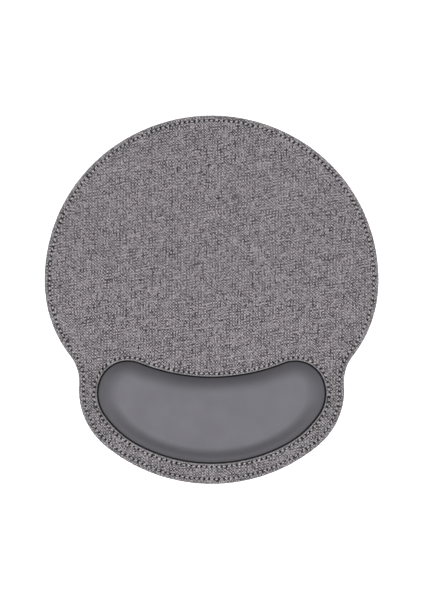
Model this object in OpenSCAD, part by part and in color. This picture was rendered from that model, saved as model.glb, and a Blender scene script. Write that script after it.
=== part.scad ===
// Mouse pad with a sewn-in wrist rest. Millimetres, +Z up, +Y away from the user, underside on Z = 0.
// Both outlines are symmetric about X = 0. Each half is a chain of tangent arcs that runs from the far middle,
// round the right, to the near middle. An arc is its radius and the heading at which it ends: the angle of the
// outline's outward normal, from +Y towards +X. A hollow arc has a negative radius.

/* [Pad outline] */
// Radius of the far edge
far_r = 117; // [114:0.5:120]
// Heading at which the far edge meets the side
far_end = 38; // [30:1:46]
// Radius of each side
side_r = 112; // [109:0.5:115]
// Heading at which the side meets the shoulder
side_end = 93; // [88:1:98]
// Radius of each shoulder, where the mouse area narrows
shoulder_r = 83; // [80:0.5:86]
// Heading at which the shoulder meets the waist
shoulder_end = 128; // [126:0.5:130]
// Radius of the hollow waist
waist_r = 29; // [26:0.5:32]
// Heading at which the waist meets the lobe
waist_end = 86; // [84:0.5:88]
// Radius of the lobe round each end of the cushion
lobe_r = 50; // [48:0.5:52]
// Heading at which the lobe meets the near edge
lobe_end = 140.5; // [138:0.5:143]

/* [Cushion opening] */
// Radius of the hollow far side
hollow_r = 133; // [125:1:145]
// Heading at which the hollow meets the far corner, to the left of +Y
hollow_end = 22; // [20:0.5:24]
// Radius of the far corner
corner_r = 21; // [20:0.5:22]
// Heading at which the far corner meets the end
corner_end = 69; // [64:1:74]
// Radius of the end
end_r = 26; // [25:0.5:27]
// Heading at which the end meets the near corner
end_end = 124; // [122:0.5:126]
// Radius of the near corner
near_corner_r = 66; // [63:1:69]
// Heading at which the near corner meets the near side
near_corner_end = 152; // [150:0.5:154]
// Distance from the near edge of the pad to the opening
near_margin = 13.8; // [12.5:0.1:16]

/* [Layers] */
// Thickness of the rubber base sheet
base_t = 1.2; // [1:0.1:2]
// Thickness of each adhesive film
film_t = 0.1; // [0.05:0.05:0.15]
// Thickness of the foam filler sheet
filler_t = 1.2; // [1.2:0.1:2.5]
// Thickness of the woven surface sheet
surface_t = 0.9; // [0.6:0.1:1.2]
// Distance that the adhesive films stop short of the cut edge
film_inset = 1; // [0.5:0.1:1.5]

/* [Cushion] */
// Height of the crown above the desk
crown_z = 21; // [17:0.5:24]
// Distance from the foot of the cushion to its flat crown
flank_w = 17; // [14:0.5:18]
// Fullness of the flank, from 2 for an ellipse to 3 for a squarer shoulder
fullness = 2.3; // [2:0.1:3]
// Thickness of the cover
cover_t = 0.8; // [0.6:0.1:0.8]
// Width of the cover's flange, under the surface sheet
flange_w = 5.5; // [4:0.1:6]
// Gap between the cut edge of the opening and the cover
foot_gap = 0.5; // [0.3:0.1:0.8]

/* [Seams] */
// Distance from the pad's edge to the edge seam
edge_seam_inset = 3.3; // [2.8:0.1:4]
// Length of one stitch of the edge seam
edge_pitch = 3.4; // [3:0.1:4.5]
// Distance from the cut edge of the opening to the seam round it
rest_seam_margin = 2.1; // [1.8:0.1:2.6]
// Length of one stitch of the seam round the opening
rest_pitch = 3.5; // [3:0.1:4.5]
// Radius of the needle thread, on top
needle_r = 0.3; // [0.2:0.05:0.35]
// Radius of the bobbin thread, below
bobbin_r = 0.18; // [0.12:0.02:0.18]
// Radius of a needle hole
hole_r = 0.4; // [0.38:0.01:0.5]

/* [Hidden] */
$fn = 24;               // facets round a needle hole or a thread

pad_turn = 3;           // degrees that one straight facet of the pad's outline turns
rest_turn = 5;          // the same for the opening and the cushion
flank_steps = 7;        // rings between the cushion's shoulder and its crown
over = 0.1;             // how far a cut runs past the face that it opens
fit_gap = 0.1;          // clearance between the core and its cover
filler_gap = 0.3;       // clearance between the flange and the filler round it
groove_depth = 0.5;     // channel in the underside that keeps the bobbin thread off the desk
groove_w = 1.2;
leg_r = 0.15;           // thread inside a needle hole
leg_shift = 0.2;        // from the middle of the hole, towards the stitch
stitch_end = 0.4;       // how far short of the next hole a stitch ends
lock_gap = 0.1;         // between the needle and bobbin threads, halfway down a hole

pad_arcs = closed([
    [far_r, far_end],
    [side_r, side_end],
    [shoulder_r, shoulder_end],
    [-waist_r, waist_end],
    [lobe_r, lobe_end]
]);
opening_arcs = closed([
    [-hollow_r, -hollow_end],
    [corner_r, corner_end],
    [end_r, end_end],
    [near_corner_r, near_corner_end]
]);
pad_far_y = depth(pad_arcs) / 2;
opening_far_y = near_margin + depth(opening_arcs) - pad_far_y;

filler_z = base_t + film_t;
surface_film_z = filler_z + filler_t;
surface_z = surface_film_z + film_t;
top_z = surface_z + surface_t;
flange_z = surface_film_z - cover_t;
lock_z = (groove_depth + top_z) / 2;
edge_holes = seam_points(pad_arcs, pad_far_y, edge_seam_inset, edge_pitch);
rest_holes = seam_points(opening_arcs, opening_far_y, -rest_seam_margin, rest_pitch);

// ---- Outlines ----

function heading(a) = [sin(a), cos(a)];

function drift(arcs, i = 0) =
    i >= len(arcs) - 1 ? 0 : (arcs[i][0] - arcs[i + 1][0]) * sin(arcs[i][1]) + drift(arcs, i + 1);

// Adds the last arc of a half outline. Its radius is the one that puts its centre back on X = 0.
function closed(arcs) =
    let(last = arcs[len(arcs) - 1])
    concat(arcs, [[last[0] + drift(arcs) / sin(last[1]), 180]]);

function start_of(arcs, i) = i == 0 ? 0 : arcs[i - 1][1];

// Centre of arc i. The outline's far middle is [0, 0].
function centre_of(arcs, i) =
    i == 0 ? [0, -arcs[0][0]]
    : centre_of(arcs, i - 1) + (arcs[i - 1][0] - arcs[i][0]) * heading(arcs[i - 1][1]);

function place(arcs, inset, i, a) = centre_of(arcs, i) + (arcs[i][0] - inset) * heading(a);

function depth(arcs) = -place(arcs, 0, len(arcs) - 1, 180)[1];

function half_outline(arcs, inset, turn) = [
    for (i = [0 : len(arcs) - 1])
        let(from = start_of(arcs, i), sweep = arcs[i][1] - from, steps = ceil(abs(sweep) / turn))
        for (k = [0 : steps - 1]) place(arcs, inset, i, from + k * sweep / steps)
];

function mirrored(p) = [-p[0], p[1]];

function outline(arcs, far_y, inset, turn) =
    let(
        half = half_outline(arcs, inset, turn),
        near = place(arcs, inset, len(arcs) - 1, 180),
        left = [for (k = [len(half) - 1 : -1 : 1]) mirrored(half[k])]
    )
    [for (p = concat(half, [near], left)) p + [0, far_y]];

// ---- Seams ----

function arc_length(arcs, inset, i) =
    abs((arcs[i][0] - inset) * (arcs[i][1] - start_of(arcs, i))) * PI / 180;

function half_length(arcs, inset, i = 0) =
    i == len(arcs) ? 0 : arc_length(arcs, inset, i) + half_length(arcs, inset, i + 1);

// The point at a distance along a half outline.
function along(arcs, inset, distance, i = 0) =
    let(length = arc_length(arcs, inset, i), from = start_of(arcs, i))
    distance > length && i < len(arcs) - 1
        ? along(arcs, inset, distance - length, i + 1)
        : place(arcs, inset, i, from + (arcs[i][1] - from) * distance / length);

// Needle holes at an even spacing, as near to the pitch as a whole number of stitches allows.
function seam_points(arcs, far_y, inset, pitch) =
    let(half = half_length(arcs, inset), count = round(2 * half / pitch))
    [
        for (k = [0 : count - 1])
            let(distance = 2 * half * (k + 0.5) / count)
            [0, far_y] + (distance < half
                ? along(arcs, inset, distance)
                : mirrored(along(arcs, inset, 2 * half - distance)))
    ];

module holes(points, from_z, to_z)
    for (p = points)
        translate([p[0], p[1], from_z - over])
            cylinder(h = to_z - from_z + 2 * over, r = hole_r);

// One stitch from hole to hole, with the leg that goes into its first hole. The leg points up when up is true.
module stitch(from, to, thread_r, thread_z, leg_h, up)
    translate([from[0], from[1], thread_z])
        rotate([0, 0, atan2(to[1] - from[1], to[0] - from[0])]) {
            rotate([0, 90, 0])
                cylinder(h = norm(to - from) - stitch_end, r = thread_r);
            translate([leg_shift, 0, up ? 0 : -leg_h])
                cylinder(h = leg_h, r = min(leg_r, thread_r - 0.02));
        }

module seam(points, thread_r, thread_z, leg_h, up)
    for (k = [0 : len(points) - 1])
        stitch(points[k], points[(k + 1) % len(points)], thread_r, thread_z, leg_h, up);

// ---- Shapes of the layers ----

module pad_shape(inset = 0) polygon(outline(pad_arcs, pad_far_y, inset, pad_turn));

module opening_shape(inset = 0) polygon(outline(opening_arcs, opening_far_y, inset, rest_turn));

module layer(z, thickness) translate([0, 0, z]) linear_extrude(thickness) children();

// ---- Cushion ----

// Height above the flange at a share of the flank's width, from 0 at the foot to 1 at the crown.
function rise(share) = pow(1 - pow(1 - share, fullness), 1 / fullness);

// Insets and heights of the rings of a dome whose wall stands upright to the shoulder.
function flank(foot_inset, shoulder_z, dome_z) = [
    for (k = [0 : flank_steps])
        let(share = 1 - cos(90 * k / flank_steps))
        [foot_inset + (flank_w - foot_inset) * share, shoulder_z + (dome_z - shoulder_z) * rise(share)]
];

// One closed skin over rings of equal length, with a flat face on the first and on the last. Both flat faces start
// at the near middle, the one corner from which the whole of a kidney can be seen.
module skin(rings) {
    count = len(rings[0]);
    near = count / 2;
    last = (len(rings) - 1) * count;
    points = [for (ring = rings) for (p = ring) p];
    first_face = [for (k = [count : -1 : 1]) (near + k) % count];
    last_face = [for (k = [0 : count - 1]) last + (near + k) % count];
    sides = [
        for (j = [0 : len(rings) - 2])
            for (k = [0 : count - 1])
                let(a = j * count + k, b = j * count + (k + 1) % count)
                [a, b, b + count, a + count]
    ];
    polyhedron(points = points, faces = concat([first_face], sides, [last_face]));
}

function ring(inset, z) = [
    for (p = outline(opening_arcs, opening_far_y, inset, rest_turn)) [p[0], p[1], z]
];

// ---- Sub-parts ----

module base_sheet()
    color([0.16, 0.16, 0.17])
        difference() {
            layer(0, base_t) pad_shape();
            layer(-over, groove_depth + over)
                difference() {
                    pad_shape(edge_seam_inset - groove_w / 2);
                    pad_shape(edge_seam_inset + groove_w / 2);
                }
            holes(edge_holes, 0, base_t);
        }

module base_adhesive()
    color([0.17, 0.17, 0.17])
        difference() {
            layer(base_t, film_t) pad_shape(film_inset);
            layer(base_t - over, film_t + 2 * over) opening_shape(foot_gap + cover_t);
            holes(edge_holes, base_t, filler_z);
        }

module filler_sheet()
    color([0.3, 0.3, 0.31])
        difference() {
            layer(filler_z, filler_t) pad_shape();
            layer(filler_z - over, filler_t + 2 * over) opening_shape(-flange_w - filler_gap);
            holes(edge_holes, filler_z, surface_film_z);
        }

module surface_adhesive()
    color([0.17, 0.17, 0.17])
        difference() {
            layer(surface_film_z, film_t) pad_shape(film_inset);
            layer(surface_film_z - over, film_t + 2 * over) opening_shape();
            holes(edge_holes, surface_film_z, surface_z);
            holes(rest_holes, surface_film_z, surface_z);
        }

module surface_sheet()
    color([0.5, 0.49, 0.5])
        difference() {
            layer(surface_z, surface_t) pad_shape();
            layer(surface_z - over, surface_t + 2 * over) opening_shape();
            holes(edge_holes, surface_z, top_z);
            holes(rest_holes, surface_z, top_z);
        }

module wrist_cover() {
    foot = foot_gap;
    inside = flank(foot + cover_t, flange_z, crown_z - cover_t);
    outside = flank(foot, top_z, crown_z);
    color([0.48, 0.47, 0.5])
        skin(concat(
            [for (k = [flank_steps : -1 : 0]) ring(inside[k][0], inside[k][1])],
            [ring(-flange_w, flange_z), ring(-flange_w, surface_film_z), ring(foot, surface_film_z)],
            [for (r = outside) ring(r[0], r[1])]
        ));
}

module wrist_core() {
    foot = foot_gap + cover_t + fit_gap;
    wall = flank(foot, flange_z, crown_z - cover_t - fit_gap);
    color([0.93, 0.9, 0.8])
        skin(concat([ring(foot, filler_z)], [for (r = wall) ring(r[0], r[1])]));
}

module core_adhesive()
    color([0.17, 0.17, 0.17])
        layer(base_t, film_t) opening_shape(foot_gap + cover_t + 2 * fit_gap);

module edge_needle_thread()
    color([0.69, 0.68, 0.69])
        seam(edge_holes, needle_r, top_z + needle_r, top_z + needle_r - lock_z - lock_gap / 2, false);

module edge_bobbin_thread()
    color([0.69, 0.68, 0.69])
        seam(edge_holes, bobbin_r, groove_depth - bobbin_r, lock_z - groove_depth + bobbin_r - lock_gap / 2, true);

module rest_needle_thread()
    color([0.69, 0.68, 0.69])
        seam(rest_holes, needle_r, top_z + needle_r, top_z + needle_r - surface_film_z, false);

module rest_bobbin_thread()
    color([0.69, 0.68, 0.69])
        for (k = [0 : len(rest_holes) - 1])
            thread_below(rest_holes[k], rest_holes[(k + 1) % len(rest_holes)]);

// One length of bobbin thread, against the underside of the flange.
module thread_below(from, to)
    translate([from[0], from[1], flange_z - bobbin_r])
        rotate([0, 90, atan2(to[1] - from[1], to[0] - from[0])])
            cylinder(h = norm(to - from) - stitch_end, r = bobbin_r);

base_sheet();
base_adhesive();
filler_sheet();
surface_adhesive();
surface_sheet();
wrist_cover();
wrist_core();
core_adhesive();
edge_needle_thread();
edge_bobbin_thread();
rest_needle_thread();
rest_bobbin_thread();
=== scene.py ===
"""A round stitched mouse pad with a sewn-in wrist cushion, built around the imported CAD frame.

Shapes are worked out in millimetres, in the CAD's own frame, and turned into metres as each mesh is made.
"""

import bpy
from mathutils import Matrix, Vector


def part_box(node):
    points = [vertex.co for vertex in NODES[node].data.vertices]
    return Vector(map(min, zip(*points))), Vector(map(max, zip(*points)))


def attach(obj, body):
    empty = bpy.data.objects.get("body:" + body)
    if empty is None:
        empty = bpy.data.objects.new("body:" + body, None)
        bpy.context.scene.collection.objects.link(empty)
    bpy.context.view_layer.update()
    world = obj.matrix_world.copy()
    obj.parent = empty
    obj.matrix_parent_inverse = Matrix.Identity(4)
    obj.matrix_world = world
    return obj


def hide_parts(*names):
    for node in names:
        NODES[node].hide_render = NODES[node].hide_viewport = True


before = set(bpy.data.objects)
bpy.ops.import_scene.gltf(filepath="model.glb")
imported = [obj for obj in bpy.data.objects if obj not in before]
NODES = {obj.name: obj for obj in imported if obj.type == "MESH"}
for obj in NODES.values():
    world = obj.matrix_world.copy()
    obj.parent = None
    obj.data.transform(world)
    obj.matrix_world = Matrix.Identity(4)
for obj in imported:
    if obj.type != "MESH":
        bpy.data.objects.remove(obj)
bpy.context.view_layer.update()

import math

import bmesh
import bpy
import numpy as np
from mathutils import Vector
from mathutils.geometry import delaunay_2d_cdt

MM = 0.001

# The layers, from the CAD nodes' own boxes
BASE_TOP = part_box("base_sheet")[1].z / MM
FILLER_Z = [corner.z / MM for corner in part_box("filler_sheet")]
SHEET_Z = [corner.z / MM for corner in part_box("surface_sheet")]
TOP = SHEET_Z[1]
FLANGE_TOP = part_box("surface_adhesive")[0].z / MM
CORE_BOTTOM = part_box("wrist_core")[0].z / MM

# The seams, as in the CAD
EDGE_SEAM = 3.3  # from the pad's edge
EDGE_PITCH = 3.4
REST_SEAM = -2.1  # outside the opening
REST_PITCH = 3.5
FLANGE_W = 5.5
COVER_T = 0.8


# ---- Outlines ----


class Outline:
    """A closed outline, symmetric about X = 0, as a chain of tangent arcs from its far middle round the right.
    An arc is its radius, negative where it is hollow, and the heading of the outward normal at its end."""

    def __init__(self, arcs):
        drift = sum((a[0] - b[0]) * math.sin(math.radians(a[1])) for a, b in zip(arcs, arcs[1:]))
        last_r, last_end = arcs[-1]
        arcs = arcs + [(last_r + drift / math.sin(math.radians(last_end)), 180.0)]
        self.radius = np.array([a[0] for a in arcs])
        self.end = np.radians([a[1] for a in arcs])
        self.start = np.concatenate([[0.0], self.end[:-1]])
        centres = [np.array([0.0, -self.radius[0]])]
        for i in range(1, len(arcs)):
            joint = np.array([math.sin(self.start[i]), math.cos(self.start[i])])
            centres.append(centres[-1] + (self.radius[i - 1] - self.radius[i]) * joint)
        self.centre = np.array(centres)
        self.depth = -(self.centre[-1][1] - self.radius[-1])
        self.far_y = 0.0

    def lengths(self, inset):
        return np.abs((self.radius - inset) * (self.end - self.start))

    def stations(self, inset, distances):
        """Points of the outline, its outward normals and their headings from 0 to pi, at distances that are
        measured along it at that inset."""
        lengths = self.lengths(inset)
        half = lengths.sum()
        d = np.mod(np.asarray(distances, float), 2 * half)
        side = np.where(d > half, -1.0, 1.0)
        d = np.where(d > half, 2 * half - d, d)
        edges = np.concatenate([[0.0], np.cumsum(lengths)])
        i = np.clip(np.searchsorted(edges, d, side="right") - 1, 0, len(lengths) - 1)
        angle = self.start[i] + (self.end[i] - self.start[i]) * (d - edges[i]) / lengths[i]
        normal = np.stack([np.sin(angle), np.cos(angle)], axis=1)
        point = self.centre[i] + self.radius[i, None] * normal + [0.0, self.far_y]
        point[:, 0] *= side
        normal[:, 0] *= side
        return point, normal, angle

    def around(self, count):
        """The same at that many even distances."""
        return self.stations(0.0, np.linspace(0, 2 * self.lengths(0.0).sum(), count, endpoint=False))


pad = Outline([(117.0, 38.0), (112.0, 93.0), (83.0, 128.0), (-29.0, 86.0), (50.0, 140.5)])
opening = Outline([(-133.0, -22.0), (21.0, 69.0), (26.0, 124.0), (66.0, 152.0)])
NEAR_MARGIN = 13.8  # between the opening and the pad's near edge, on the middle line
pad.far_y = pad.depth / 2
opening.far_y = NEAR_MARGIN + opening.depth - pad.far_y


# ---- Seams ----

HOLE_R = 0.92  # of a needle hole, with the slope down into it
HOLE_STRETCH = 1.2  # how many times longer a hole is along the seam than across it
PULL_W = 0.75  # the dip along a seam fades away over this

# How holes and stitches differ along a seam
HOLE_DRIFT = 0.07  # off the seam's line
HOLE_SIZE = (0.8, 1.16)  # of HOLE_R
HOLE_DEPTH = (0.8, 1.1)  # of the depth that is asked for
STITCH_LIFT = 0.03
STITCH_SLANT = (0.22, 0.06)  # mean and spread


class Seam:
    """A row of needle holes at an even spacing along an outline, with a number of mesh columns to each stitch."""

    def __init__(self, outline, inset, pitch, columns, seed):
        length = 2 * outline.lengths(inset).sum()
        self.inset, self.columns = inset, columns
        self.count = round(length / pitch)
        self.pitch = length / self.count
        column = np.arange(self.count * columns)
        self.phase = (column % columns) / columns
        self.stitch = column // columns
        self.point, self.normal, _ = outline.stations(inset, self.pitch * (0.5 + column / columns))
        draw = np.random.default_rng(seed)
        self.shift = draw.normal(0.0, HOLE_DRIFT, self.count)
        self.size = draw.uniform(*HOLE_SIZE, self.count)
        self.depth = draw.uniform(*HOLE_DEPTH, self.count)
        self.lift = draw.normal(0.0, STITCH_LIFT, self.count)
        self.slant = draw.normal(*STITCH_SLANT, self.count)
        self.turn = draw.uniform(0.0, 2 * math.pi, self.count)

    def ring(self, inset, z):
        """The columns' points at one inset."""
        xy = self.point - np.multiply(np.ones(len(self.point)), inset)[:, None] * self.normal
        return np.column_stack([xy, np.multiply(np.ones(len(xy)), z)])

    def holes(self):
        return self.ring(self.inset, 0.0)[:: self.columns, :2]

    def sink(self, inset, dip, pit):
        """How far the surface is pulled down at an inset, and the painted shade of a needle hole there, from 0 to
        1.
        """
        here, there = self.stitch, (self.stitch + 1) % self.count
        near = np.where(self.phase < 0.5, here, there)
        along = np.minimum(self.phase, 1 - self.phase) * self.pitch
        across = inset - self.inset - self.shift[near]
        reach = np.hypot(along, HOLE_STRETCH * across) / (HOLE_R * self.size[near])
        hole = np.exp(-(reach**4))
        pull = np.exp(-((across / PULL_W) ** 2))
        pull *= 0.55 + 0.45 * np.cos(2 * math.pi * self.phase)  # most at the holes, a tenth of it between them
        return dip * pull + pit * self.depth[near] * hole, np.sqrt(hole)


# ---- Meshes ----

ROW_STEP = 0.87  # of a grid's spacing, from one row to the next
RIM_CLEAR = 0.6  # of a grid's spacing, between it and a rim


class Shape:
    """Points, with what a material needs to know at each, and the faces between them."""

    def __init__(self, *channels):
        self.channels, self.rows, self.count, self.faces = channels, [], 0, []

    def add(self, points, *values):
        values = [np.multiply(np.ones(len(points)), value)[:, None] for value in values]
        values += [np.zeros((len(points), 1))] * (len(self.channels) - len(values))
        self.rows.append(np.hstack([np.asarray(points, float), *values]))
        self.count += len(points)
        return np.arange(self.count - len(points), self.count)

    def strip(self, a, b, flip=False):
        """Quads between two closed rings of equal length. Clockwise rings that go outwards face up."""
        quads = np.stack([a, np.roll(a, -1), np.roll(b, -1), b], axis=1)
        self.faces += (quads[:, ::-1] if flip else quads).tolist()

    def strips(self, rings, flip=False):
        for a, b in zip(rings, rings[1:]):
            self.strip(a, b, flip)

    def fill(self, loops, spacing, up, height=None):
        """Triangles between an outer ring and the rings of its openings, over points on an even grid."""
        rows = np.vstack(self.rows)
        edges, used = [], np.concatenate(loops)
        for loop in loops:
            start = int(np.flatnonzero(used == loop[0])[0])
            edges += [(start + k, start + (k + 1) % len(loop)) for k in range(len(loop))]
        rims = [rows[loop, :2] for loop in loops]
        low, high = rims[0].min(0), rims[0].max(0)
        grid = np.array([
            (x + 0.5 * spacing * (row % 2), y)
            for row, y in enumerate(np.arange(low[1], high[1], spacing * ROW_STEP))
            for x in np.arange(low[0], high[0], spacing)
        ])
        grid = grid[within(grid, rims)]
        thinned = np.vstack([rim[::4] for rim in rims])
        clear = [np.hypot(*(thinned - p).T).min() > RIM_CLEAR * spacing for p in grid]
        grid = grid[np.array(clear)]
        level = rows[loops[0], 2].mean()
        heights = level + (height(grid) if height else 0.0)
        inner = self.add(np.column_stack([grid, np.multiply(np.ones(len(grid)), heights)]))
        used = np.concatenate([used, inner])
        flat = np.vstack([*rims, grid])
        cut = delaunay_2d_cdt([Vector(p) for p in flat], edges, [], 0, 1e-7)
        points, _, triangles, origins, _, _ = cut
        triangles = np.array(triangles)
        middle = np.array([p[:] for p in points])[triangles].mean(1)
        triangles = triangles[within(middle, rims)]
        first = np.array([o[0] if o else -1 for o in origins])
        triangles = used[first[triangles[(first[triangles] >= 0).all(1)]]]
        self.faces += (triangles if up else triangles[:, ::-1]).tolist()

    def build(self, name, material):
        rows = np.vstack(self.rows)
        mesh = bpy.data.meshes.new(name)
        mesh.from_pydata((rows[:, :3] * MM).tolist(), [], self.faces)
        for k, channel in enumerate(self.channels):
            layer = mesh.attributes.new(channel, "FLOAT", "POINT")
            layer.data.foreach_set("value", rows[:, 3 + k].astype(np.float32))
        mesh.polygons.foreach_set("use_smooth", [True] * len(mesh.polygons))
        mesh.update()
        mesh.materials.append(material)
        obj = bpy.data.objects.new(name, mesh)
        bpy.context.scene.collection.objects.link(obj)
        return obj


def within(points, rims, batch=2000):
    """Whether each point is inside the first rim and outside the others."""
    result = np.zeros(len(points), bool)
    for first in range(0, len(points), batch):
        p = points[first : first + batch]
        crossings = np.zeros(len(p), int)
        for rim in rims:
            (x1, y1), (x2, y2) = rim.T, np.roll(rim, -1, axis=0).T
            spans = (y1 > p[:, 1:]) != (y2 > p[:, 1:])
            rise = np.where(y2 == y1, 1.0, y2 - y1)
            crossings += (spans & (p[:, :1] < (x2 - x1) * (p[:, 1:] - y1) / rise + x1)).sum(1)
        result[first : first + batch] = crossings % 2 == 1
    return result


def ripple(count, waves, amount, seed):
    """A smooth closed run of small variation."""
    draw = np.random.default_rng(seed)
    at = np.arange(count) * 2 * math.pi / count
    run = sum(
        draw.normal() * np.cos(w * at + draw.uniform(0, 2 * math.pi)) / math.sqrt(waves)
        for w in draw.integers(waves // 3, waves * 3, waves)
    )
    return amount * run


# ---- Materials ----


class Graph:
    """A material's nodes, made one call at a time."""

    def __init__(self, name):
        self.material = bpy.data.materials.new(name)
        self.material.use_nodes = True
        self.tree = self.material.node_tree
        self.tree.nodes.clear()
        place = self.node("ShaderNodeTexCoord").outputs["Object"]
        self.mm = self.vector("SCALE", place, scale=1 / MM)

    def node(self, kind, **settings):
        made = self.tree.nodes.new(kind)
        for key, value in settings.items():
            setattr(made, key, value)
        return made

    def put(self, socket, value):
        if isinstance(value, bpy.types.NodeSocket):
            self.tree.links.new(value, socket)
        elif value is not None:
            socket.default_value = value

    def math(self, operation, a, b=None, c=None, clamp=False):
        made = self.node("ShaderNodeMath", operation=operation, use_clamp=clamp)
        for socket, value in zip(made.inputs, (a, b, c)):
            self.put(socket, value)
        return made.outputs[0]

    def vector(self, operation, a, b=None, scale=None):
        made = self.node("ShaderNodeVectorMath", operation=operation)
        self.put(made.inputs[0], a)
        if scale is None:
            self.put(made.inputs[1], b)
        else:
            self.put(made.inputs["Scale"], scale)
        return made.outputs[0]

    def split(self, a):
        made = self.node("ShaderNodeSeparateXYZ")
        self.put(made.inputs[0], a)
        return made.outputs

    def join(self, x, y, z=0.0):
        made = self.node("ShaderNodeCombineXYZ")
        for socket, value in zip(made.inputs, (x, y, z)):
            self.put(socket, value)
        return made.outputs[0]

    def noise(self, vector, scale, detail=2.0, rough=0.5):
        made = self.node("ShaderNodeTexNoise")
        self.put(made.inputs["Vector"], vector)
        self.put(made.inputs["Scale"], scale)
        self.put(made.inputs["Detail"], detail)
        self.put(made.inputs["Roughness"], rough)
        return made.outputs["Fac"]

    def cells(self, vector, scale):
        made = self.node("ShaderNodeTexVoronoi")
        self.put(made.inputs["Vector"], vector)
        self.put(made.inputs["Scale"], scale)
        return made.outputs["Distance"]

    def span(self, value, low, high, to_low=0.0, to_high=1.0, kind="LINEAR"):
        made = self.node("ShaderNodeMapRange", interpolation_type=kind)
        for socket, v in zip(made.inputs, (value, low, high, to_low, to_high)):
            self.put(socket, v)
        return made.outputs[0]

    def mix(self, factor, a, b, kind="MIX"):
        made = self.node("ShaderNodeMix", data_type="RGBA", blend_type=kind)
        self.put(made.inputs["Factor"], factor)
        self.put(made.inputs["A"], a)
        self.put(made.inputs["B"], b)
        return made.outputs["Result"]

    def blend(self, factor, a, b):
        made = self.node("ShaderNodeMix", data_type="FLOAT")
        for socket, value in zip(made.inputs, (factor, None, a, b)):
            self.put(socket, value)
        return made.outputs[0]

    def attribute(self, name):
        return self.node("ShaderNodeAttribute", attribute_name=name).outputs["Fac"]

    def bump(self, height, distance, strength):
        made = self.node("ShaderNodeBump")
        self.put(made.inputs["Strength"], strength)
        self.put(made.inputs["Distance"], distance)
        self.put(made.inputs["Height"], height)
        return made.outputs[0]

    def finish(self, color, rough, normal=None, **fixed):
        shader = self.node("ShaderNodeBsdfPrincipled")
        self.put(shader.inputs["Base Color"], color)
        self.put(shader.inputs["Roughness"], rough)
        self.put(shader.inputs["Normal"], normal)
        for key, value in fixed.items():
            shader.inputs[key.replace("_", " ")].default_value = value
        output = self.node("ShaderNodeOutputMaterial")
        self.tree.links.new(shader.outputs[0], output.inputs[0])
        return self.material


def rgb(r, g, b):
    """A colour given as it is seen, from 0 to 255."""

    def linear(v):
        v /= 255
        return v / 12.92 if v <= 0.04045 else ((v + 0.055) / 1.055) ** 2.4

    return (linear(r), linear(g), linear(b), 1.0)


WARP_PITCH = 0.99
WEFT_PITCH = 0.97
WEFT_TILT = math.radians(9.5)  # the weft was laid a little askew
WANDER = 3.6  # the full range of how far a yarn strays off its straight line
TWIST = 2.0  # turns of the yarns' twist in a millimetre
CLOTH_TONE = 0.48  # between the darkest yarn, 0, and the lightest, 1


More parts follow.
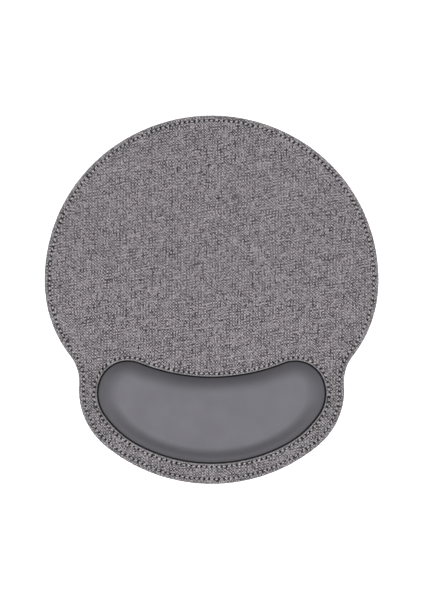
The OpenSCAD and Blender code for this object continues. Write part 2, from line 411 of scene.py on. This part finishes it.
def woven():
    """Grey linen weave: two sets of slubby yarns, lighter and darker, over and under each other."""
    g = Graph("woven-linen")
    x, y, _ = g.split(g.mm)

    def strayed(place, scale):
        return g.math("MULTIPLY", g.math("SUBTRACT", g.noise(place, scale, 4.0), 0.5), WANDER)

    sway = strayed(g.mm, 0.13)
    drift = strayed(g.vector("ADD", g.mm, (71, 13, 5)), 0.15)
    cos, sin = math.cos(WEFT_TILT), math.sin(WEFT_TILT)
    along_weft = g.math("ADD", g.math("MULTIPLY", x, cos), g.math("MULTIPLY", y, sin))
    across_weft = g.math("SUBTRACT", g.math("MULTIPLY", y, cos), g.math("MULTIPLY", x, sin))

    # Counted in yarns, across the warp (u) and across the weft (v): which yarn, and the place within it
    u = g.math("DIVIDE", g.math("ADD", x, sway), WARP_PITCH)
    v = g.math("DIVIDE", g.math("ADD", across_weft, drift), WEFT_PITCH)
    iu, iv = g.math("FLOOR", u), g.math("FLOOR", v)
    fu, fv = g.math("SUBTRACT", u, iu), g.math("SUBTRACT", v, iv)
    odd_u, odd_v = g.math("FLOORED_MODULO", iu, 2.0), g.math("FLOORED_MODULO", iv, 2.0)
    sign_u, sign_v = g.math("MULTIPLY_ADD", odd_u, -2.0, 1.0), g.math("MULTIPLY_ADD", odd_v, -2.0, 1.0)
    parity = g.math("MULTIPLY", sign_u, sign_v)

    def crown(f):  # across a round yarn
        return g.math("SQRT", g.math("MAXIMUM", g.math("MULTIPLY", f, g.math("SUBTRACT", 1.0, f)), 0.0))

    # The warp is on top where the parity is 1, the weft where it is -1, and each bends over the other
    rise_warp = g.math("MULTIPLY", parity, g.math("SINE", g.math("MULTIPLY", fv, math.pi)))
    rise_weft = g.math("MULTIPLY", parity, g.math("SINE", g.math("MULTIPLY", fu, -math.pi)))
    high_warp = g.math("MULTIPLY_ADD", rise_warp, 0.5, crown(fu))
    high_weft = g.math("MULTIPLY_ADD", rise_weft, 0.5, crown(fv))
    height = g.math("MAXIMUM", high_warp, high_weft)
    over = g.math("GREATER_THAN", high_warp, high_weft)

    def twist(along, across):
        turn = g.math("MULTIPLY_ADD", along, TWIST, g.math("MULTIPLY", across, 0.9))
        return g.math("MULTIPLY_ADD", g.math("SINE", g.math("MULTIPLY", turn, 2 * math.pi)), 0.5, 0.5)

    # Each stretch of a yarn that lies on top has a number of its own
    float_warp = g.math("FLOOR", g.math("MULTIPLY", g.math("SUBTRACT", g.math("ADD", v, 0.5), odd_u), 0.5))
    float_weft = g.math("FLOOR", g.math("MULTIPLY", g.math("ADD", g.math("SUBTRACT", u, 0.5), odd_v), 0.5))

    def grain(a, by_a, b, by_b, seed=0.0, detail=1.0, rough=0.5):  # noise with its own scale in each direction
        return g.noise(g.join(g.math("MULTIPLY", a, by_a), g.math("MULTIPLY", b, by_b), seed), 1.0, detail, rough)

    # What is seen of a yarn: its mixed colours, its fibres, the strands of its twist, its slubs, and two numbers
    # that tell its stretches apart
    warp = (
        grain(iu, 7.31, y, 1.6, rough=0.6),
        grain(x, 9.0, y, 1.2, 3.0, 2.0, 0.6),
        twist(y, fu),
        grain(iu, 9.13, y, 0.16, 23.0),
        iu,
        float_warp,
    )
    weft = (
        grain(along_weft, 2.0, iv, 5.77, 11.0, rough=0.6),
        grain(along_weft, 1.2, across_weft, 9.0, 7.0, 2.0, 0.6),
        twist(along_weft, fv),
        grain(along_weft, 0.16, iv, 6.71, 31.0),
        g.math("ADD", float_weft, 400.0),  # clear of the warp's numbers
        iv,
    )
    mixed, fibre, strand, slub, *which = (g.blend(over, b, a) for a, b in zip(warp, weft))
    fleck = g.noise(g.mm, 3.5, 1.0, 0.7)
    streak = grain(x, 0.42, y, 0.05)
    chance = g.node("ShaderNodeTexWhiteNoise", noise_dimensions="2D")
    g.put(chance.inputs["Vector"], g.join(*which))

    # How much each of them lightens or darkens the cloth
    parts = (
        (mixed, 1.4), (slub, 1.3), (chance.outputs["Value"], 0.5), (fleck, 0.6), (fibre, 1.0), (strand, 0.14),
        (streak, 0.2), (odd_v, 0.24), (odd_u, 0.21), (over, 0.5),
    )
    tone = 0.0
    for part, amount in parts:
        tone = g.math("ADD", tone, g.math("MULTIPLY", g.math("SUBTRACT", part, 0.5), amount))
    tone = g.math("ADD", tone, CLOTH_TONE, clamp=True)
    # Painted shade: the cloth is darker where the yarns lie low, between them and down their round sides
    shade = g.span(height, 0.15, 0.9, 0.3, 1.0)
    fabric = g.mix(tone, rgb(44, 42, 43), rgb(182, 176, 180))
    fabric = g.mix(1.0, fabric, g.join(shade, shade, shade), "MULTIPLY")
    # Painted highlight along the rolled-over edges
    fabric = g.mix(g.attribute("wear_and_highlight"), fabric, rgb(168, 164, 168))
    # Painted shade on the cut faces and under the rims
    fabric = g.mix(g.math("MULTIPLY", g.attribute("cut"), 0.85), fabric, rgb(92, 90, 93))
    # Painted shade in the needle holes
    fabric = g.mix(g.attribute("pit"), fabric, rgb(2, 2, 2))
    relief = g.math("ADD", height, g.math("MULTIPLY_ADD", fibre, 0.3, g.math("MULTIPLY", strand, 0.14)))
    rough = g.span(fleck, 0.3, 0.7, 0.95, 0.8)
    bump = g.bump(relief, 0.0003, 0.8)
    return g.finish(fabric, rough, bump, Sheen_Weight=0.12, Sheen_Roughness=0.4, Specular_IOR_Level=0.25)


def smooth_cover():
    """Grey coated cover with a very fine grain, and painted shade where it meets the sheet."""
    g = Graph("smooth-cover")
    grain = g.cells(g.mm, 2.3)
    fine = g.noise(g.mm, 5.5, 3.0, 0.6)
    cloud = g.noise(g.mm, 0.06, 3.0)
    base = g.mix(g.span(cloud, 0.3, 0.7), rgb(109, 108, 113), rgb(114, 113, 118))
    base = g.mix(g.span(grain, 0.0, 0.9, 0.0, 0.12), base, rgb(94, 93, 98))
    z = g.split(g.mm)[2]
    # Painted shade: the cover darkens to near black towards its foot, in the gap at the sheet's cut edge
    painted_crease_shade = g.span(z, TOP + 1.3, TOP + 0.1, kind="SMOOTHSTEP")
    base = g.mix(g.math("MULTIPLY", painted_crease_shade, 0.95), base, rgb(16, 15, 17))
    relief = g.math("ADD", g.math("MULTIPLY", grain, 0.6), g.math("MULTIPLY", fine, 0.4))
    rough = g.span(fine, 0.3, 0.7, 0.6, 0.75)
    return g.finish(base, rough, g.bump(relief, 0.00006, 0.5), Specular_IOR_Level=0.07)


def thread():
    """Light grey spun thread."""
    g = Graph("spun-thread")
    fibre = g.noise(g.vector("MULTIPLY", g.mm, (1.0, 1.0, 1.6)), 7.0, 3.0, 0.7)
    wear_and_highlight = g.noise(g.mm, 0.3, 2.0)
    base = g.mix(fibre, rgb(158, 155, 158), rgb(216, 213, 217))
    base = g.mix(g.span(wear_and_highlight, 0.35, 0.7, 0.0, 0.35), base, rgb(156, 153, 157))
    # Painted shade where the thread goes down into its holes
    base = g.mix(g.attribute("deep"), base, rgb(4, 4, 4))
    rough = g.span(fibre, 0.3, 0.7, 0.8, 0.6)
    return g.finish(base, rough, g.bump(fibre, 0.00005, 0.6), Sheen_Weight=0.15, Sheen_Roughness=0.4)


def rubber():
    """Near-black natural rubber with a dusty, finely pitted skin."""
    g = Graph("base-rubber")
    speck = g.noise(g.mm, 2.4, 4.0, 0.65)
    dust = g.noise(g.mm, 0.12, 3.0)
    base = g.mix(g.span(dust, 0.35, 0.7), rgb(38, 38, 39), rgb(50, 50, 51))
    base = g.mix(g.span(speck, 0.55, 0.8, 0.0, 0.5), base, rgb(72, 72, 73))
    rough = g.span(speck, 0.3, 0.7, 0.72, 0.9)
    return g.finish(base, rough, g.bump(speck, 0.00008, 0.6), Specular_IOR_Level=0.35)


def filler_foam():
    """Dark closed-cell foam, cut across its cells."""
    g = Graph("filler-foam")
    cell = g.cells(g.mm, 4.5)
    tint = g.noise(g.mm, 1.2, 2.0)
    base = g.mix(g.span(cell, 0.1, 0.6), rgb(42, 42, 43), rgb(84, 84, 86))
    base = g.mix(g.span(tint, 0.4, 0.7, 0.0, 0.4), base, rgb(66, 66, 68))
    rough = g.span(cell, 0.0, 0.7, 0.95, 0.8)
    return g.finish(base, rough, g.bump(cell, 0.00012, 0.8))


def memory_foam():
    """Cream slow-recovery foam with open pores."""
    g = Graph("memory-foam")
    pore = g.cells(g.mm, 1.6)
    tint = g.noise(g.mm, 0.2, 2.0)
    base = g.mix(g.span(pore, 0.05, 0.4), rgb(176, 164, 132), rgb(236, 228, 200))
    base = g.mix(g.span(tint, 0.4, 0.7, 0.0, 0.3), base, rgb(222, 210, 176))
    rough = g.span(pore, 0.0, 0.5, 0.95, 0.82)
    return g.finish(base, rough, g.bump(pore, 0.00025, 0.8), Subsurface_Weight=0.1)


def adhesive():
    """Dried black adhesive, with faint brush marks."""
    g = Graph("adhesive-film")
    brush = g.noise(g.vector("MULTIPLY", g.mm, (0.2, 1.4, 1.0)), 1.0, 3.0)
    base = g.mix(brush, rgb(30, 29, 30), rgb(52, 51, 52))
    rough = g.span(brush, 0.3, 0.7, 0.35, 0.55)
    return g.finish(base, rough, g.bump(brush, 0.00004, 0.6))


FLOOR_GLOW = 0.6


def paper_floor():
    """A pale seamless studio floor. Its own glow keeps it pale far from the lights."""
    g = Graph("studio-floor")
    mottle = g.noise(g.mm, 0.004, 2.0)
    base = g.mix(mottle, (0.955, 0.955, 0.955, 1.0), (0.975, 0.975, 0.975, 1.0))
    rough = g.span(mottle, 0.3, 0.7, 0.9, 0.95)
    white = (1.0, 1.0, 1.0, 1.0)
    return g.finish(base, rough, Specular_IOR_Level=0.1, Emission_Color=white, Emission_Strength=FLOOR_GLOW)


WOVEN, COVER, THREAD, RUBBER = woven(), smooth_cover(), thread(), rubber()
FOAM, MEMORY, GLUE = filler_foam(), memory_foam(), adhesive()

edge_seam = Seam(pad, EDGE_SEAM, EDGE_PITCH, columns=12, seed=11)
rest_seam = Seam(opening, REST_SEAM, REST_PITCH, columns=12, seed=12)
under_seam = Seam(pad, EDGE_SEAM, EDGE_PITCH, columns=8, seed=11)


# ---- The woven sheet ----

SHEET_DIP = 0.22  # how far the seams pull the sheet down
SHEET_PIT = 0.56  # and how much further at a needle hole
EDGE_SWELL = 0.10  # between the edge seam and the rim
REST_SWELL = 0.09  # between the opening's seam and its cut edge
RIM_R = 0.5  # the rim rolls over at this radius
CUT_R = 0.3  # and the opening's cut edge at this one
LIP = 0.05  # how far both stand up where they start to roll over
EDGE_BACK = 0.3  # the opening's cut edge has pulled back a little


def unevenness(xy):
    """The lie of the sheet between its seams, a few hundredths of a millimetre either way."""
    x, y = xy.T
    return 0.03 * np.sin(x / 17 + 1.3) * np.sin(y / 23 - 0.4) + 0.02 * np.sin((x + y) / 11)


def woven_sheet():
    """The top, its two rolled-over edges and the underside. The material is told where to paint shade, in the
    needle holes, on the cut faces and under the rims, and where to paint a highlight along the rolled-over edges."""
    shape = Shape("pit", "wear_and_highlight", "cut")

    def top_ring(seam, inset, swell):
        sink, hole = seam.sink(inset, SHEET_DIP, SHEET_PIT)
        return shape.add(seam.ring(inset, TOP + swell - sink), hole)

    # Round the pad: from inside the seam, over the rim, and under
    frayed = ripple(len(edge_seam.point), waves=90, amount=0.05, seed=21)
    rings = []
    for inset in (5.0, 4.5, 4.15, 3.9, 3.7, 3.5, 3.3, 3.1, 2.9, 2.7, 2.45, 2.1, 1.6, 1.1):
        swell = EDGE_SWELL * math.sin(math.pi * inset / EDGE_SEAM) if inset < EDGE_SEAM else 0.0
        rings.append(top_ring(edge_seam, inset, swell))
    # Over the rim's turn: a painted highlight, and painted shade that grows as it turns under
    for step in range(5):
        turn = math.radians(10 + 20 * step)
        inset = RIM_R * (1 - math.sin(turn)) + frayed * (turn / 1.6)  # the fraying sets in over the turn
        z = TOP + LIP * math.cos(turn) - RIM_R * (1 - math.cos(turn))
        rings.append(shape.add(edge_seam.ring(inset, z), 0.0, 0.25, 0.15 * step))
    # Painted shade on the rim's underside and cut face
    rings.append(shape.add(edge_seam.ring(frayed, SHEET_Z[0] + 0.12), 0.0, 0.0, 1.0))
    rings.append(shape.add(edge_seam.ring(0.1, SHEET_Z[0]), 0.0, 0.0, 1.0))
    shape.strips(rings)

    # Round the opening: from outside the seam, over the cut edge, and under
    nicks = ripple(len(rest_seam.point), waves=70, amount=0.04, seed=22)
    cut = []
    for inset in (-4.3, -3.7, -3.3, -2.95, -2.7, -2.5, -2.3, -2.1, -1.9, -1.7, -1.5, -1.25, -1.0, -0.8):
        swell = REST_SWELL * math.sin(math.pi * inset / REST_SEAM) if inset > REST_SEAM else 0.0
        cut.append(top_ring(rest_seam, inset, swell))
    # Over the cut edge's turn: a painted highlight
    for step in range(4):
        turn = math.radians(15 + 25 * step)
        inset = -EDGE_BACK - CUT_R * (1 - math.sin(turn)) + nicks
        z = TOP + LIP * math.cos(turn) - CUT_R * (1 - math.cos(turn))
        cut.append(shape.add(rest_seam.ring(inset, z), 0.0, 0.6, 0.0))
    # Painted shade on the opening's cut face
    cut.append(shape.add(rest_seam.ring(nicks - EDGE_BACK, SHEET_Z[0]), 0.0, 0.0, 1.0))
    shape.strips(cut, flip=True)

    shape.fill([rings[0], cut[0]], spacing=4.0, up=True, height=unevenness)
    shape.fill([rings[-1], cut[-1]], spacing=12.0, up=False)
    return shape.build("woven-sheet", WOVEN)


sheet = woven_sheet()


# ---- Threads ----

PLIES = 3
PLY_SIDES = 6
PLY_R = 0.165
TWIST_R = 0.16  # from the thread's middle to each ply's
HOLE_GAP = 0.05  # of a stitch's length, from the middle of a hole to the stitch's end in it
CLIMB = 0.25  # of a stitch's run, to come up out of a hole
DARK_FROM = 0.12  # the painted shade on a thread going down a hole is full from this share of its drop
BOW = 0.06  # a stitch's middle stands up by this much


def sewn(name, seam, level, up, run=0.2, sections=15, twist=1.5, drop=0.95, scale=1.0):
    """Stitches of a three-ply thread along a seam: each comes up out of one needle hole and goes down the next.
    Run is how high it runs over the level, drop how far down its ends go, and twist its turns."""
    a = seam.holes()
    b = np.roll(a, -1, axis=0)
    length = np.hypot(*(b - a).T)
    ahead = (b - a) / length[:, None]
    left = np.column_stack([-ahead[:, 1], ahead[:, 0]])
    v = 0.5 - 0.5 * np.cos(np.linspace(0.0, math.pi, sections))
    rise = np.clip(np.minimum(v, 1 - v) / CLIMB, 0.0, 1.0)
    rise = rise * rise * (3 - 2 * rise)
    travel = length[:, None] * (HOLE_GAP + (1 - 2 * HOLE_GAP) * v)
    wander = seam.slant[:, None] * (2 * v - 1) * rise
    wander -= seam.shift[:, None] * (1 - v) + np.roll(seam.shift, -1)[:, None] * v
    path = np.zeros((seam.count, sections, 3))
    path[..., :2] = a[:, None] + travel[..., None] * ahead[:, None] + wander[..., None] * left[:, None]
    bow = BOW * np.sin(math.pi * v)
    path[..., 2] = level + up * (run + seam.lift[:, None] + bow - drop * (1 - rise))
    tangent = np.gradient(path, axis=1)
    tangent /= np.linalg.norm(tangent, axis=2, keepdims=True)
    side = np.concatenate([left, np.zeros((seam.count, 1))], axis=1)[:, None] * np.ones((1, sections, 1))
    over = np.cross(tangent, side)
    shape = Shape("deep")
    # Painted shade on the thread, growing as it goes down into a needle hole
    deep = np.clip((1.0 - rise) / DARK_FROM, 0.0, 1.0)
    deep = np.multiply(np.ones((seam.count, 1, PLY_SIDES)), deep[None, :, None])
    around = 2 * math.pi * np.arange(PLY_SIDES) / PLY_SIDES
    ring = np.cos(around)[:, None] * side[:, :, None] + np.sin(around)[:, None] * over[:, :, None]
    for ply in range(PLIES):
        angle = 2 * math.pi * (ply / PLIES + twist * v) + seam.turn[:, None]
        axis = path + scale * TWIST_R * (np.cos(angle)[..., None] * side + np.sin(angle)[..., None] * over)
        points = axis[:, :, None] + scale * PLY_R * ring
        index = shape.add(points.reshape(-1, 3), deep.ravel()).reshape(seam.count, sections, PLY_SIDES)
        after = np.roll(index, -1, axis=2)
        quads = np.stack([index[:, :-1], after[:, :-1], after[:, 1:], index[:, 1:]], axis=-1)
        shape.faces += quads.reshape(-1, 4).tolist()
        shape.faces += index[:, 0, ::-1].tolist() + index[:, -1].tolist()
    return cleaned(shape.build(name, THREAD))


def cleaned(obj):
    """Drops the points that no face uses, and turns every face outwards."""
    mesh = bmesh.new()
    mesh.from_mesh(obj.data)
    bmesh.ops.delete(mesh, geom=[v for v in mesh.verts if not v.link_faces], context="VERTS")
    bmesh.ops.recalc_face_normals(mesh, faces=mesh.faces)
    mesh.to_mesh(obj.data)
    mesh.free()
    return obj


UNDER_STITCH = 0.15  # how far the sheet's surface under a stitch is below its top
UNDERSIDE_LEVEL = 0.5  # of the bobbin thread, in its channel
edge_thread = sewn("edge-stitches", edge_seam, TOP - UNDER_STITCH, 1)
rest_thread = sewn("cushion-stitches", rest_seam, TOP - UNDER_STITCH, 1)
under_thread = sewn("underside-stitches", under_seam, UNDERSIDE_LEVEL, -1, run=0.02, drop=0.3, scale=0.62)


# ---- The rubber base ----

SOLE = 0.28  # the sole stands this far up on its pips
SOLE_R = 0.35  # the sole's edge is rounded at this radius
GROOVE_TOP = 0.62
GROOVE_PIT = 0.3  # how much further up the needle holes go
# Half of the channel over the bobbin thread: distances from its middle, and shares of its height there
GROOVE_HALF = ((0.0, 1.0), (0.3, 1.0), (0.5, 0.85), (0.65, 0.4), (0.8, 0.02))

PIP_PITCH = 3.7
PIP_R = 0.8
PIP_SIDES = 7
PIP_MARGIN = 6.2  # the pips stop this far from the pad's edge
PIP_COLUMNS = 34  # on each side of the middle, more than enough for the pad's width


def rubber_base():
    """A sheet with a rounded edge, a channel along the seam, and pips under it."""
    shape = Shape("pit")
    seam = under_seam
    wavy = ripple(len(seam.point), waves=60, amount=0.03, seed=23)
    rings = [shape.add(seam.ring(1.2, BASE_TOP)), shape.add(seam.ring(0.12, BASE_TOP))]
    for step in range(5):
        turn = math.radians(22.5 * step)
        inset = 0.02 + wavy + SOLE_R * (1 - math.cos(turn))
        rings.append(shape.add(seam.ring(inset, SOLE + SOLE_R * (1 - math.sin(turn)))))
    outer = [(EDGE_SEAM - away, share) for away, share in GROOVE_HALF[:0:-1]]
    inner = [(EDGE_SEAM + away, share) for away, share in GROOVE_HALF]
    for inset, share in ((EDGE_SEAM - 1.2, 0.0), *outer, *inner, (EDGE_SEAM + 1.3, 0.0)):
        sink, hole = seam.sink(inset, 0.0, GROOVE_PIT)
        z = SOLE + (GROOVE_TOP - SOLE) * share + sink
        rings.append(shape.add(seam.ring(inset, z), hole))
    shape.strips(rings)
    shape.fill([rings[0]], spacing=14.0, up=True)
    shape.fill([rings[-1]], spacing=14.0, up=False)

    # Anti-slip pips, in a triangular array that stops short of the seam
    point, normal, _ = pad.around(480)
    clear = point - PIP_MARGIN * normal
    low, high = clear.min(0), clear.max(0)
    spots = np.array([
        (x + 0.5 * PIP_PITCH * (row % 2), y)
        for row, y in enumerate(np.arange(low[1] + 1.0, high[1], PIP_PITCH * math.sqrt(0.75)))
        for x in np.arange(-PIP_COLUMNS * PIP_PITCH, PIP_COLUMNS * PIP_PITCH, PIP_PITCH)
    ])
    spots = spots[within(spots, [clear])]
    around = 2 * math.pi * np.arange(PIP_SIDES) / PIP_SIDES
    ring = np.column_stack([np.sin(around), np.cos(around)])
    tiers = []
    for share, z in ((1.15, SOLE + 0.05), (0.95, SOLE * 0.4), (0.55, 0.0)):
        xy = (spots[:, None] + PIP_R * share * ring).reshape(-1, 2)
        index = shape.add(np.column_stack([xy, np.full(len(xy), z)]))
        tiers.append(index.reshape(len(spots), PIP_SIDES))
    for a, b in zip(tiers, tiers[1:]):
        quads = np.stack([b, np.roll(b, -1, axis=1), np.roll(a, -1, axis=1), a], axis=-1)
        shape.faces += quads.reshape(-1, 4).tolist()
    shape.faces += tiers[0][:, ::-1].tolist() + tiers[-1].tolist()
    return cleaned(shape.build("rubber-base", RUBBER))


base = rubber_base()


# ---- The foam filler ----

FLANGE_GAP = 0.3  # between the cover's flange and the filler round it


def foam_filler():
    """A flat sheet, bulging and slightly uneven at its edge, with a hole for the cover's flange."""
    shape = Shape()
    seam = under_seam
    low, high = FILLER_Z
    rings = [shape.add(seam.ring(1.5, high))]
    for k, (share, inset) in enumerate(((1.0, 0.22), (0.8, 0.14), (0.5, 0.1), (0.2, 0.14), (0.0, 0.22))):
        uneven = ripple(len(seam.point), waves=220, amount=0.035, seed=31 + k)
        rings.append(shape.add(seam.ring(inset + uneven, low + (high - low) * share)))
    rings.append(shape.add(seam.ring(1.5, low)))
    shape.strips(rings)
    point, normal, _ = opening.around(360)
    hole = [
        shape.add(np.column_stack([point + (FLANGE_W + FLANGE_GAP + step) * normal, np.full(len(point), z)]))
        for step, z in ((0.5, high), (0.0, high), (0.0, low), (0.5, low))
    ]
    shape.strips(hole, flip=True)
    shape.fill([rings[0], hole[0]], spacing=14.0, up=True)
    shape.fill([rings[-1], hole[-1]], spacing=14.0, up=False)
    return shape.build("foam-filler", FOAM)


filler = foam_filler()


# ---- The cushion ----

FLANGE_INSETS = (-FLANGE_W, -3.6, -1.8, -0.6, 0.0)
FOOT_INSET = 0.3
FLANK_TOP = 18.8
CROWN_RISE = 1.9  # from the flank's top to the middle, before the foam pushes the cover out
COLUMNS = 320  # round the cushion's outline
FLANK_RINGS = 13
FLANK_STEPS = 200  # points at which the flank's slope is summed up to its height
WIDTH_PASSES = 300  # of smoothing, so that the flank's width changes gently round the outline
CROWN_SPACING = 2.2
DOME_PASSES = 900
PUSH_CAP = 1.6  # the foam pushes the cover out by less than this
PUSH_FRAMES = 20


def slopes(share, angle):
    """The flank's slope in degrees, from the foot (0) to the flat crown (1), by the outline's heading there:
    steep on the far side, less so at the ends, and with a hollow on the near side."""
    far = 71 - 59 * share**1.8
    end = 60 - 48 * share**1.9
    near = 66 - 54 * share**5 - 13 * np.exp(-(((share - 0.26) / 0.17) ** 2))
    degrees = np.degrees(angle)
    to_end = np.clip(degrees / 80, 0, 1)
    to_near = np.clip((degrees - 90) / 60, 0, 1)
    to_end, to_near = (t * t * (3 - 2 * t) for t in (to_end, to_near))
    return (far * (1 - to_end) + end * to_end) * (1 - to_near) + near * to_near


def cushion_shell():
    """The cover's outer side: rings for its flange and its flank, and triangles over its crown."""
    point, normal, angle = opening.around(COLUMNS)
    flank_h = FLANK_TOP - FLANGE_TOP
    fine = np.linspace(0, 1, FLANK_STEPS)
    tangents = np.tan(np.radians(slopes(fine[:, None], angle[None])))
    climb = np.cumsum((tangents[1:] + tangents[:-1]) / 2, axis=0) / (FLANK_STEPS - 1)
    climb = np.concatenate([np.zeros((1, len(angle))), climb])
    width = flank_h / climb[-1]
    for _ in range(WIDTH_PASSES):
        width = (np.roll(width, 1) + 2 * width + np.roll(width, -1)) / 4

    shape = Shape()

    def ring(inset, z):
        xy = point - np.multiply(np.ones(len(point)), inset)[:, None] * normal
        return shape.add(np.column_stack([xy, np.multiply(np.ones(len(xy)), z)]))

    rings = [ring(inset, FLANGE_TOP) for inset in FLANGE_INSETS]
    for share in np.linspace(0, 1, FLANK_RINGS) ** 1.15:  # a little closer together at the foot
        level = np.array([np.interp(share, fine, column) for column in climb.T])
        rings.append(ring(FOOT_INSET + share * width, FLANGE_TOP + level / climb[-1] * flank_h))
    shape.strips(rings, flip=True)

    first = len(shape.faces)
    shape.fill([rings[-1]], CROWN_SPACING, up=True)
    crown = shape.faces[first:]
    raise_dome(shape, rings[-1], crown)
    return shape, rings, crown


def raise_dome(shape, rim, faces):
    """Raises the flat crown to the dome of a sheet that is held at its rim and pushed up evenly."""
    rows = np.vstack(shape.rows)
    corners = np.array(faces)
    one, other = corners.ravel(), np.roll(corners, -1, axis=1).ravel()
    one, other = np.concatenate([one, other]), np.concatenate([other, one])
    joined = np.maximum(np.bincount(one, minlength=len(rows)), 1)
    free = np.zeros(len(rows), bool)
    free[corners.ravel()] = True
    free[rim] = False
    rise = np.zeros(len(rows))
    for _ in range(DOME_PASSES):
        rise[free] = (np.bincount(one, rise[other], len(rows)) / joined + 1.0)[free]
    rows[:, 2] += CROWN_RISE * rise / rise.max()
    shape.rows = [rows]


def puff(obj, pinned):
    """Swells the cover with a cloth simulation of the foam's push, and keeps the result."""
    group = obj.vertex_groups.new(name="pinned")
    group.add([int(i) for i in pinned], 1.0, "REPLACE")
    before = np.array([v.co for v in obj.data.vertices])
    cloth = obj.modifiers.new("push", "CLOTH")
    settings = cloth.settings
    settings.quality = 7
    settings.mass = 0.25
    settings.tension_stiffness = settings.compression_stiffness = settings.shear_stiffness = 40
    settings.bending_stiffness = 4
    settings.air_damping = 4
    settings.use_pressure = True
    settings.uniform_pressure_force = 4
    settings.vertex_group_mass = "pinned"
    settings.effector_weights.gravity = 0
    cloth.collision_settings.use_collision = False
    cloth.point_cache.frame_start, cloth.point_cache.frame_end = 1, PUSH_FRAMES
    scene = bpy.context.scene
    for at in range(1, PUSH_FRAMES + 1):
        scene.frame_set(at)
    posed = obj.evaluated_get(bpy.context.evaluated_depsgraph_get())
    after = np.array([v.co for v in posed.data.vertices])
    obj.modifiers.remove(cloth)
    scene.frame_set(1)
    moved = after - before
    cap = PUSH_CAP * MM
    moved *= cap / (cap + np.linalg.norm(moved, axis=1, keepdims=True))
    obj.data.vertices.foreach_set("co", (before + moved).astype(np.float32).ravel())
    obj.data.update()


def settle(obj, *modifiers):
    """Applies modifiers, given as (type, settings)."""
    for kind, values in modifiers:
        made = obj.modifiers.new(kind.lower(), kind)
        for key, value in values.items():
            setattr(made, key, value)
    dg = bpy.context.evaluated_depsgraph_get()
    mesh = bpy.data.meshes.new_from_object(obj.evaluated_get(dg))
    obj.modifiers.clear()
    obj.data = mesh


shell, shell_rings, crown_faces = cushion_shell()
flange, (foot, *flank) = shell_rings[: len(FLANGE_INSETS)], shell_rings[len(FLANGE_INSETS) :]
cushion = shell.build("wrist-cushion", COVER)
puff(cushion, pinned=np.concatenate([*flange, foot]))

CORE_GAP = 0.12  # between the core and the cover
FOOT_GAP = 0.3  # and at the foot


def foam_core():
    """The core fills the cover: the same skin moved inwards, down to a flat underside."""
    mesh = cushion.data
    points = np.array([v.co for v in mesh.vertices]) / MM
    normals = np.array([v.normal for v in mesh.vertices])
    shape = Shape()
    skin = points - (COVER_T + CORE_GAP) * normals
    skin[flank[0], 2] = np.maximum(skin[flank[0], 2], CORE_BOTTOM + 0.6)
    shape.add(skin)
    xy = points[foot] - (COVER_T + FOOT_GAP) * np.column_stack([normals[foot][:, :2], np.zeros(len(foot))])
    xy[:, 2] = CORE_BOTTOM
    bottom = shape.add(xy)
    shape.strips([bottom, *flank], flip=True)
    shape.faces += crown_faces
    shape.fill([bottom], spacing=8.0, up=False)
    return cleaned(shape.build("foam-core", MEMORY))


core = foam_core()
settle(
    cushion,
    ("SUBSURF", {"levels": 1, "render_levels": 1}),
    ("SOLIDIFY", {"thickness": COVER_T * MM, "offset": -1.0, "use_even_offset": False}),
)

# ---- Each piece takes the place of its CAD node ----

for piece, node, slot in (
    (sheet, "surface_sheet", "woven_surface"),
    (edge_thread, "edge_needle_thread", "thread"),
    (rest_thread, "rest_needle_thread", "thread"),
    (under_thread, "edge_bobbin_thread", "thread"),
    (base, "base_sheet", "base_rubber"),
    (filler, "filler_sheet", "filler_foam"),
    (cushion, "wrist_cover", "smooth_cover"),
    (core, "wrist_core", "memory_foam"),
):
    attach(piece, "root")
    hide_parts(node)

for node, material in (
    ("base_adhesive", GLUE), ("surface_adhesive", GLUE), ("core_adhesive", GLUE), ("rest_bobbin_thread", THREAD)
):
    NODES[node].data.materials.clear()
    NODES[node].data.materials.append(material)


def area_of(outline, inset):
    """In square metres, at an inset from the outline."""
    point, normal, _ = outline.around(2000)
    point = point - inset * normal
    (x, y), (x2, y2) = point.T, np.roll(point, -1, axis=0).T
    return abs((x * y2 - x2 * y).sum()) / 2 * MM * MM


area_of(pad, 0.0) - area_of(opening, 0.0)

# ---- Studio, in metres ----

FLOOR_HALF = 6.0
FILL_LIGHT = 0.05  # from all round
AWAY = 2.5  # from the camera to the sheet
VIEW_H = 413.424 * MM  # of the picture, at the sheet
VIEW_MIDDLE = (0.28 * MM, -0.17 * MM)
SENSOR = 36.0  # in millimetres, as cameras are described

scene = bpy.context.scene
floor_mesh = bpy.data.meshes.new("floor")
corners = [(x * FLOOR_HALF, y * FLOOR_HALF, 0) for x, y in ((-1, -1), (1, -1), (1, 1), (-1, 1))]
floor_mesh.from_pydata(corners, [], [(0, 1, 2, 3)])
floor = bpy.data.objects.new("floor", floor_mesh)
floor.data.materials.append(paper_floor())
scene.collection.objects.link(floor)
floor.visible_diffuse = False  # it doesn't throw light up at the cushion's sides

world = bpy.data.worlds.new("studio")
world.use_nodes = True
background = world.node_tree.nodes["Background"]
background.inputs["Color"].default_value = (1.0, 1.0, 1.0, 1.0)
background.inputs["Strength"].default_value = FILL_LIGHT
scene.world = world


def softbox(name, place, size, power):
    """A square light, out of the camera's sight, that faces the origin."""
    light = bpy.data.lights.new(name, "AREA")
    light.shape = "SQUARE"
    light.size = size
    light.energy = power
    obj = bpy.data.objects.new(name, light)
    obj.location = place
    obj.rotation_euler = (-Vector(place)).to_track_quat("-Z", "Y").to_euler()
    obj.visible_camera = False
    scene.collection.objects.link(obj)


softbox("overhead", place=(0.0, -0.09, 1.9), size=1.1, power=33.5)
softbox("left", place=(-1.5, -0.1, 1.1), size=0.9, power=10.5)
softbox("right", place=(1.5, -0.1, 1.1), size=0.9, power=10.5)

camera_data = bpy.data.cameras.new("camera")
camera_data.sensor_width = SENSOR
camera_data.lens = SENSOR * AWAY / VIEW_H
camera = bpy.data.objects.new("camera", camera_data)
camera.location = (*VIEW_MIDDLE, AWAY + TOP * MM)
scene.collection.objects.link(camera)
scene.camera = camera
scene.view_settings.view_transform = "Standard"
